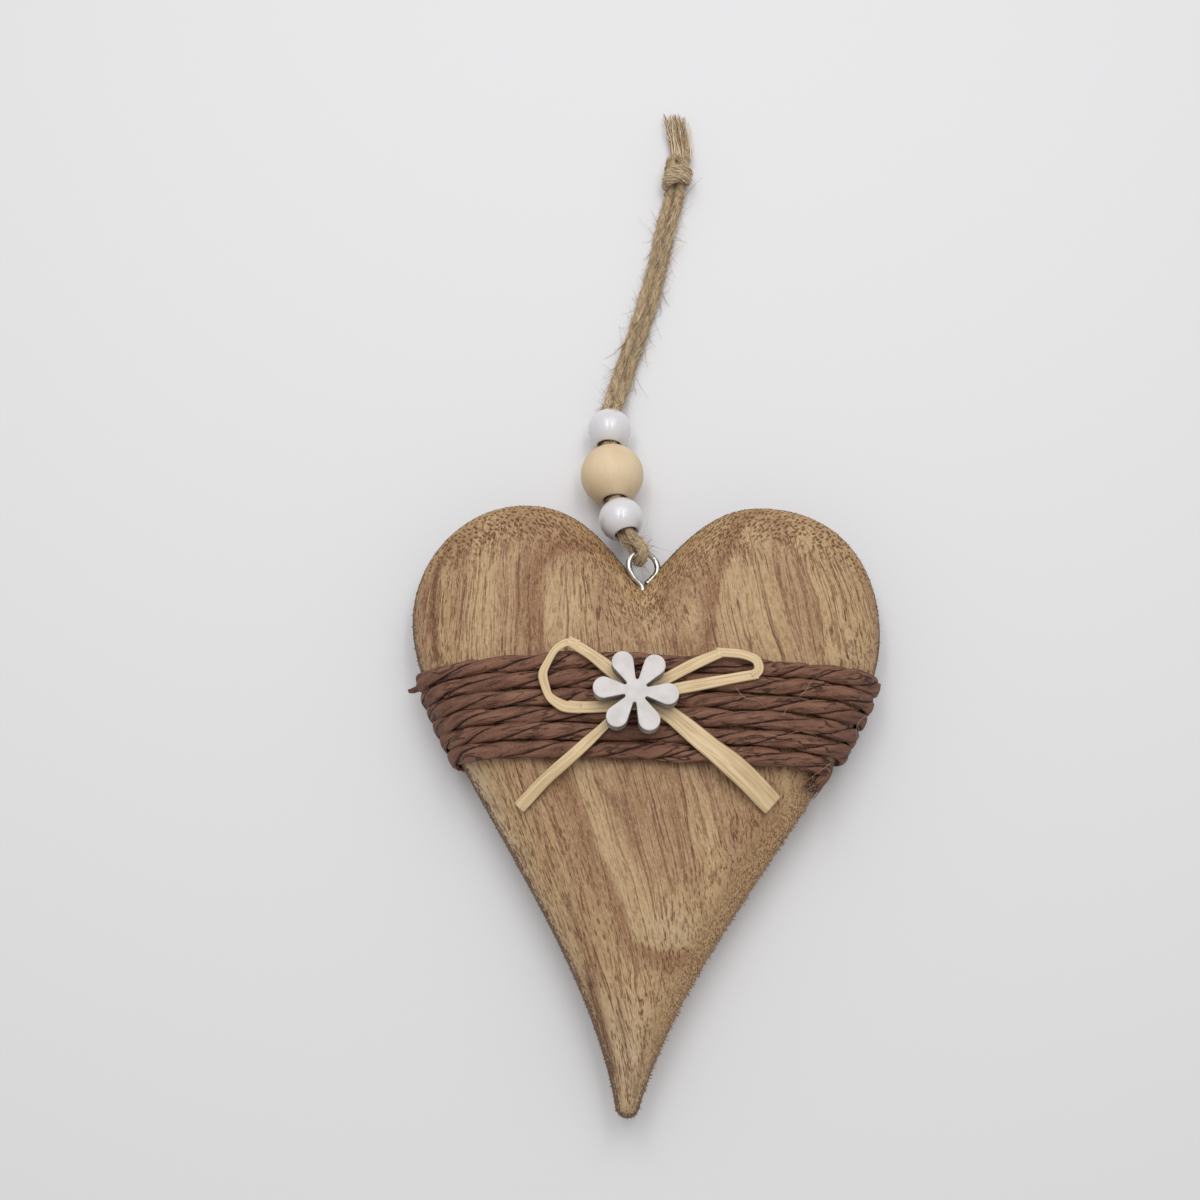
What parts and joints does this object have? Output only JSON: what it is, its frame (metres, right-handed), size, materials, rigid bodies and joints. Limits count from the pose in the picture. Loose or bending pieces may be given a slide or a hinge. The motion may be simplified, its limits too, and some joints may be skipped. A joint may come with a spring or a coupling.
{
  "type": "wooden heart wall decor",
  "caption": "Flat wooden heart with a paper cord wrap, raffia bow and cut-out flower, hung from a beaded jute loop.",
  "frame": {"origin": "on the table under the middle of the heart with its wrap, bow and flower, without the hanging cord", "axes": "+Z out of the front face, with the flower; +Y from the heart's tip to its lobes and the hanging cord; +X to the right seen from the front"},
  "size_m": [0.1072, 0.2456, 0.0302],
  "materials": {
    "wood": "bare, sanded, open pores",
    "nickel": "plated steel wire",
    "paper_cord": "twisted brown paper cord, matt",
    "raffia": "natural raffia strip, slight sheen",
    "white_paint": "matt white paint on wood",
    "jute": "hairy natural jute twine",
    "white_lacquer": "glossy white lacquer on wood",
    "bare_bead_wood": "smooth bare pale wood"
  },
  "bodies": {
    "root": {"heart": "wood", "screw_eye": "nickel", "wrap_cord": "paper_cord", "raffia_bow": "raffia", "flower": "white_paint", "hanging_cord": "jute", "cord_knot": "jute", "bead_lower": "white_lacquer", "bead_middle": "bare_bead_wood", "bead_upper": "white_lacquer"}
  },
  "joints": []
}
